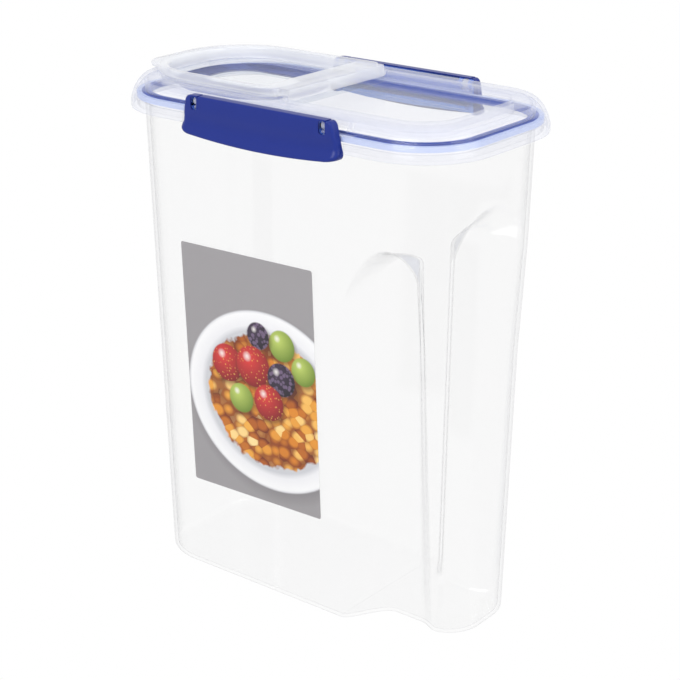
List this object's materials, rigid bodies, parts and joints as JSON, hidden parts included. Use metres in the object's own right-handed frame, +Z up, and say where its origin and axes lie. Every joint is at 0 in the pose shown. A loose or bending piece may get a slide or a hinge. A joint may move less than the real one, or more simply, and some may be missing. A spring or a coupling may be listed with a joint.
{
  "type": "cereal container with flip spout",
  "caption": "Tall clear plastic food box with a hand recess, a lid held by side clips, a blue seal and a hinged flip cap over the pouring hole.",
  "frame": {"origin": "middle of the base, at the bottom", "axes": "+X towards the grip end, -X to the pouring end, -Y towards the labelled front, +Z up"},
  "size_m": [0.2193, 0.1278, 0.2784],
  "materials": {
    "clear_wall": "clear gloss",
    "clear_lid": "clear gloss",
    "frosted_cap": "slightly frosted",
    "blue_seal": "smooth",
    "blue_clip": "gloss",
    "label_paper": "printed film"
  },
  "bodies": {
    "box": {"container": "clear_wall", "label": "label_paper"},
    "lid_body": {"lid": "clear_lid", "lid_seal": "blue_seal"},
    "cap_body": {"flip_cap": "frosted_cap", "cap_seal": "blue_seal"},
    "front_clip": {"clip_front": "blue_clip"},
    "rear_clip": {"clip_rear": "blue_clip"}
  },
  "joints": [
    {"name": "lid_lift", "type": "slide", "parent": "box", "child": "lid_body", "axis": [0, 0, 1], "range_m": [0, 0.08]},
    {"name": "cap_hinge", "type": "hinge", "parent": "lid_body", "child": "cap_body", "pos_m": [0, 0, 0.2732], "axis": [0, 1, 0], "range_deg": [0, 110]},
    {"name": "clip_front_hinge", "type": "hinge", "parent": "lid_body", "child": "front_clip", "pos_m": [0, -0.0579, 0.2706], "axis": [-1, 0, 0], "range_deg": [0, 110]},
    {"name": "clip_rear_hinge", "type": "hinge", "parent": "lid_body", "child": "rear_clip", "pos_m": [0, 0.0579, 0.2706], "axis": [1, 0, 0], "range_deg": [0, 110]}
  ]
}
